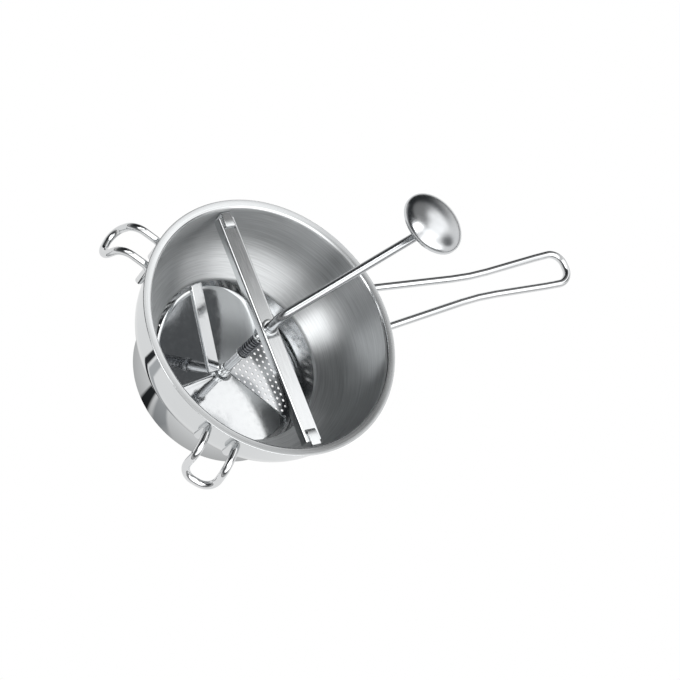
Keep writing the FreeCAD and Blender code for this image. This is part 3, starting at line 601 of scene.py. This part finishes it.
def blade_height(point):
    """Middle of the sheet over a place; the fold turns from one slope to the other over a few mm."""
    across = point.dot(polar(1, FOLD + 90))
    soft = min(4.0, 0.25 * point.length)
    share = min(max((across + soft) / (2 * soft), 0), 1)
    share = share * share * (3 - 2 * share)
    return BLADE_MID + point.dot(NEAR) * share + point.dot(FAR) * (1 - share)


def build_blade():
    inner, sheet, rings, turns = 6.15, BLADE_SHEET, 16, 110
    past_press, lip_reach, lip_low = 2.0, 3.0, 12.3
    roll = ((0.3, 0.04), (0.6, 0.25), (0.85, 0.6), (1.1, 1.0))
    out = polar(1, PRESS + 90)
    verts = []
    for ring in range(rings + 1):
        reach = inner + (BLADE_RADIUS - inner) * ring / rings
        stop = PRESS + math.degrees(math.asin(past_press / reach))
        for i in range(turns + 1):
            brink = polar(reach, ENTRY + (stop - ENTRY) * i / turns)
            brink.z = blade_height(brink)
            verts.append(brink)
        # From the last point of the row the lip rolls down, and draws in at its outer end to clear the ring
        drop = brink.z - sheet / 2 - lip_low
        shrink = 1 - 0.06 * (reach / BLADE_RADIUS) ** 8
        for share, fall in roll:
            point = brink + out * (lip_reach * share)
            verts.append(Vector((point.x * shrink, point.y * shrink, brink.z - drop * fall)))
    row = turns + 1 + len(roll)
    faces = [(i * row + k, (i + 1) * row + k, (i + 1) * row + k + 1, i * row + k + 1)
             for i in range(rings) for k in range(row - 1)]
    plate = mesh_from("blade_folded", verts, faces)
    blade = piece("blade_folded", plate, "crank", "blade_steel", rolled, "blade_plate")
    thick = blade.modifiers.new("sheet", "SOLIDIFY")
    thick.thickness, thick.offset = sheet * MM, 0
    break_edges(blade, 0.25, 50)
    build_scraper(inner)


# Scraper: a strip on the blade's far half, from the hub out to the ring's wall
def build_scraper(inner):
    azimuth, middle, half_width, end, thick = 91, 10.7, 5.5, 75.4, 2.0
    along, aside = polar(1, azimuth), polar(1, azimuth + 90)
    low, high = middle - half_width, middle + half_width
    offs = [low + (high - low) * i / 8 for i in range(9)]
    rim = [(off, math.sqrt(end ** 2 - off ** 2)) for off in offs]
    foot = [(off, math.sqrt(max(inner ** 2 - off ** 2, 0))) for off in (high, inner, (low + inner) / 2, low)]
    plan = [along * run + aside * off for off, run in rim + foot]
    climb = along.dot(FAR)
    lift = BLADE_MID + BLADE_SHEET / 2 + WELD + max(low * aside.dot(FAR), high * aside.dot(FAR))
    outline = [Vector((p.x, p.y, lift + p.dot(along) * climb)) for p in plan]
    strip = slab("scraper_strip", outline, (0, 0, thick))
    piece("scraper_strip", strip, "crank", "blade_steel", rolled, "scraper_arm", edge=0.4)


# Table: white opal glass, lit so that it has no shadow. Reflections see it with a painted shadow round the foot and
# a painted fall-off of light far away, and see two cards that lie beside the mill, painted into its glow, each given
# by where it starts and ends in shares of the reach
def build_table():
    table = bpy.data.materials.new("table_opal_glass_with_painted_shade")
    tree = cleared(table)
    place = add_node(tree, "ShaderNodeTexCoord").outputs["Object"]
    reach, fade = 0.12, 0.025
    stops = [(0.0, WHITE)]
    for first, last, code in ((0.37, 0.44, "#303234"), (0.51, 0.61, "#c0c2c4")):
        stops += [(first - fade, WHITE), (first, code), (last, code), (last + fade, WHITE)]
    stops.append((1.0, WHITE))
    across = vector_maths(tree, "DOT_PRODUCT", place, (-0.49, -0.87, 0))
    along = vector_maths(tree, "DOT_PRODUCT", place, (-0.87, 0.49, 0))
    away = vector_maths(tree, "LENGTH", place)
    cards = ramped(tree, ranged(tree, across, 0.0, reach), stops)
    colour = blended(tree, ranged(tree, along, 0.03, 0.05), linear(WHITE), cards)
    # Painted shadow round the mill's foot: the glow that reflections see drops to half close to it
    foot = ranged(tree, away, 0.078, 0.11, 0.5, 0.95)
    # Painted fall-off of light: the glow that reflections see fades far from the mill
    fall = ranged(tree, away, 1.0, 1.6, 1.0, 0.12, "SMOOTHSTEP")
    glow_with_painted_shade = add_node(tree, "ShaderNodeEmission", {"Color": colour, "Strength": maths(tree, "MULTIPLY", foot, fall)})
    plain = add_node(tree, "ShaderNodeEmission", {"Color": linear(WHITE), "Strength": 1.0})
    add_node(tree, "ShaderNodeOutputMaterial", {"Surface": seen(tree, glow_with_painted_shade, plain)})
    size, bottom, thick = 6000, -6, 5.5
    corners = [(-size, -size, bottom), (size, -size, bottom), (size, size, bottom), (-size, size, bottom)]
    floor = linked("floor", slab("floor", corners, (0, 0, thick)))
    floor.data.materials.append(table)


# Studio: walls that darken upwards, and over them a fan of light and dark sectors by heading in degrees, with one
# bright strip. Soft round screens follow, by azimuth, height, reach and soft edge in degrees. Without reflections
# the backdrop is plain white
def build_studio():
    scene = bpy.context.scene
    scene.world = bpy.data.worlds.new("studio")
    tree = cleared(scene.world)
    toward = add_node(tree, "ShaderNodeTexCoord").outputs["Generated"]
    height = add_node(tree, "ShaderNodeSeparateXYZ", {0: toward}).outputs["Z"]
    walls = ramped(tree, height, ((0.0, "#5f5f5f"), (0.12, "#545454"), (0.3, "#242526")))
    across = vector_maths(tree, "DOT_PRODUCT", toward, (-0.415, 0.91, 0))
    behind = vector_maths(tree, "DOT_PRODUCT", toward, (-0.702, -0.32, 0.636))
    heading = ranged(tree, maths(tree, "ARCTAN2", behind, across), -math.pi, math.pi)
    sectors = ((-180, "#bcbcbc"), (-105, "#bcbcbc"), (-40, "#101112"), (54, "#101112"), (68, "#f8f8f8"),
               (77, "#f8f8f8"), (82, "#707070"), (94, "#747474"), (107, "#b8b8b8"), (180, "#bcbcbc"))
    fan = ramped(tree, heading, [(0.5 + degrees / 360, code) for degrees, code in sectors])
    sky = blended(tree, ranged(tree, height, 0.4, 0.5), walls, fan)
    for azimuth, rise, reach, soft, code in (
            (-20, 10, 38, 10, "#787878"), (62, 4, 28, 8, "#0f1011"), (47, 48, 20, 6, "#404040"),
            (24, 39, 8, 4, "#949494"), (14, 52, 8, 1.5, "#989898"), (-22, 51, 9, 5, "#858585"),
            (-12, 36, 9, 9, "#262728"), (170, 28, 22, 8, "#202122")):
        climb = math.radians(rise)
        facing = vector_maths(tree, "DOT_PRODUCT", toward, polar(math.cos(climb), azimuth, math.sin(climb)))
        outer, inner = math.cos(math.radians(reach + soft)), math.cos(math.radians(reach - soft))
        sky = blended(tree, ranged(tree, facing, outer, inner, curve="SMOOTHSTEP"), sky, linear(code))
    studio = add_node(tree, "ShaderNodeBackground", {"Color": sky, "Strength": 4.7})
    backdrop = add_node(tree, "ShaderNodeBackground", {"Color": linear(WHITE), "Strength": 1.0})
    add_node(tree, "ShaderNodeOutputWorld", {"Surface": seen(tree, studio, backdrop)})
    scene.view_settings.view_transform = "Standard"


# Camera: where the photo was taken from, rolled as the photo is
def build_camera():
    side, tilt, roll = math.radians(-65.5), math.radians(50.5), math.radians(48.7)
    aim_right, aim_up, distance = 0.0474, 0.0346, 2.0
    right = Vector((math.cos(side), math.sin(side), 0))
    back = Vector((math.sin(side) * math.cos(tilt), -math.cos(side) * math.cos(tilt), math.sin(tilt)))
    up = back.cross(right)
    target = Vector((0, 0, RIM_HEIGHT * MM)) + right * aim_right + up * aim_up
    across = right * math.cos(roll) + up * math.sin(roll)
    above = up * math.cos(roll) - right * math.sin(roll)
    lens = bpy.data.cameras.new("camera")
    lens.sensor_width, lens.lens = 36, 124.8
    lens.clip_start, lens.clip_end = 0.05, 50
    camera = linked("camera", lens)
    camera.matrix_world = Matrix((across, above, back)).transposed().to_4x4()
    camera.location = target + back * distance
    bpy.context.scene.camera = camera


build_bowl()
build_sieve()
build_wires()
build_bar()
build_turned()
build_spring()
build_crank()
build_blade()
build_table()
build_studio()
build_camera()
